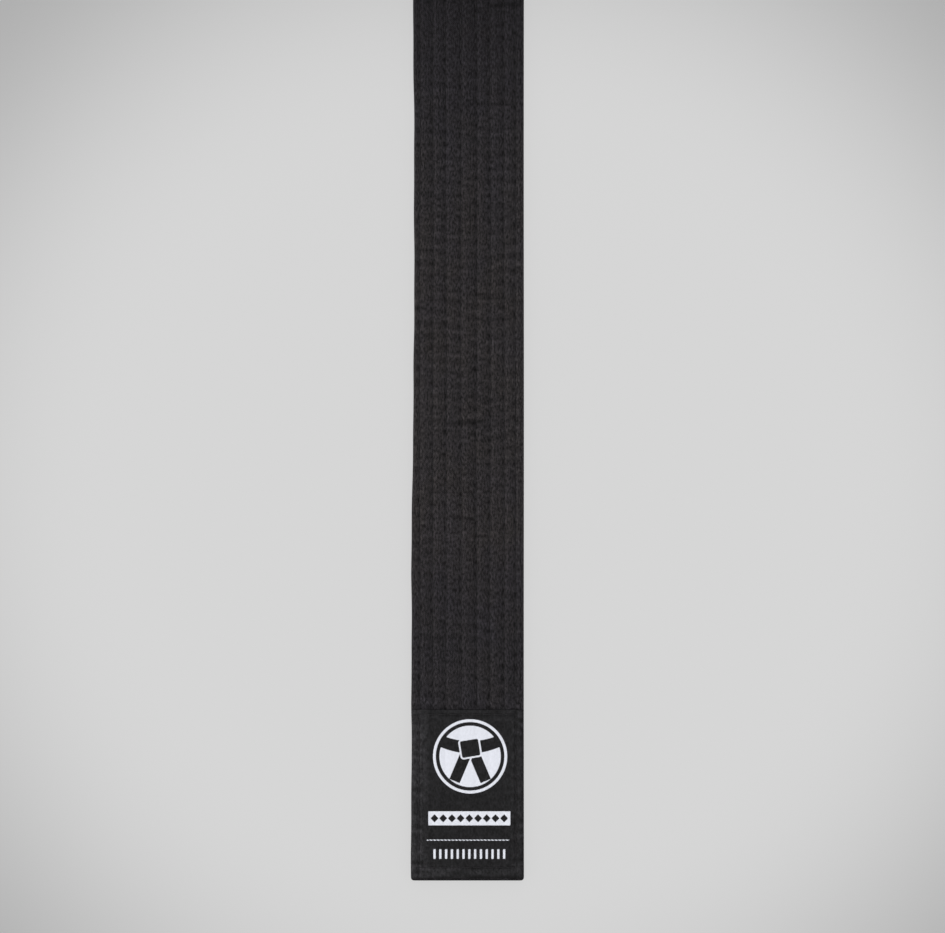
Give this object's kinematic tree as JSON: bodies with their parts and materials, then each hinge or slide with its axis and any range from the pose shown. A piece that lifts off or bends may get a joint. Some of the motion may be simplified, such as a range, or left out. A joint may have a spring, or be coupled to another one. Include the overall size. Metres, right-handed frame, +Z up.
{
  "type": "martial arts belt",
  "caption": "Long flat stitched cotton belt for martial arts, its labelled free end lying flat and the rest of its length wound into a roll; the free end flexes up.",
  "frame": {"origin": "on the surface that the belt lies on, under the middle of the bounding box", "axes": "+Y along the belt from the labelled free end to the roll, X across the belt's width, +Z up"},
  "size_m": [0.04, 0.4474, 0.1266],
  "materials": {
    "black_cotton": "matte woven cotton, puckered by the stitch rows",
    "natural_interlining": "matte unbleached cotton interlining",
    "black_thread": "slightly glossy spun polyester thread",
    "black_label_satin": "smooth woven label cloth with a faint sheen"
  },
  "bodies": {
    "rolled_length": {"rolled_cover": "black_cotton", "lead_cover": "black_cotton", "rolled_core_ply_1": "natural_interlining", "rolled_core_ply_2": "natural_interlining", "rolled_core_ply_3": "natural_interlining", "lead_needle_thread_1": "black_thread", "lead_needle_thread_2": "black_thread", "lead_needle_thread_3": "black_thread", "lead_needle_thread_4": "black_thread", "lead_needle_thread_5": "black_thread", "lead_needle_thread_6": "black_thread", "lead_needle_thread_7": "black_thread", "lead_needle_thread_8": "black_thread", "lead_bobbin_thread_1": "black_thread", "lead_bobbin_thread_2": "black_thread", "lead_bobbin_thread_3": "black_thread", "lead_bobbin_thread_4": "black_thread", "lead_bobbin_thread_5": "black_thread", "lead_bobbin_thread_6": "black_thread", "lead_bobbin_thread_7": "black_thread", "lead_bobbin_thread_8": "black_thread", "inner_end_seam": "black_thread"},
    "free_end": {"free_end_cover": "black_cotton", "free_end_core_ply_1": "natural_interlining", "free_end_core_ply_2": "natural_interlining", "free_end_core_ply_3": "natural_interlining", "free_end_needle_thread_1": "black_thread", "free_end_needle_thread_2": "black_thread", "free_end_needle_thread_3": "black_thread", "free_end_needle_thread_4": "black_thread", "free_end_needle_thread_5": "black_thread", "free_end_needle_thread_6": "black_thread", "free_end_needle_thread_7": "black_thread", "free_end_needle_thread_8": "black_thread", "free_end_bobbin_thread_1": "black_thread", "free_end_bobbin_thread_2": "black_thread", "free_end_bobbin_thread_3": "black_thread", "free_end_bobbin_thread_4": "black_thread", "free_end_bobbin_thread_5": "black_thread", "free_end_bobbin_thread_6": "black_thread", "free_end_bobbin_thread_7": "black_thread", "free_end_bobbin_thread_8": "black_thread", "woven_label": "black_label_satin", "label_stitching": "black_thread"}
  },
  "joints": [
    {"name": "free_end_flex", "type": "hinge", "parent": "rolled_length", "child": "free_end", "pos_m": [0, 0.08033, 0.0044], "axis": [-1, 0, 0], "range_deg": [0, 75]}
  ]
}
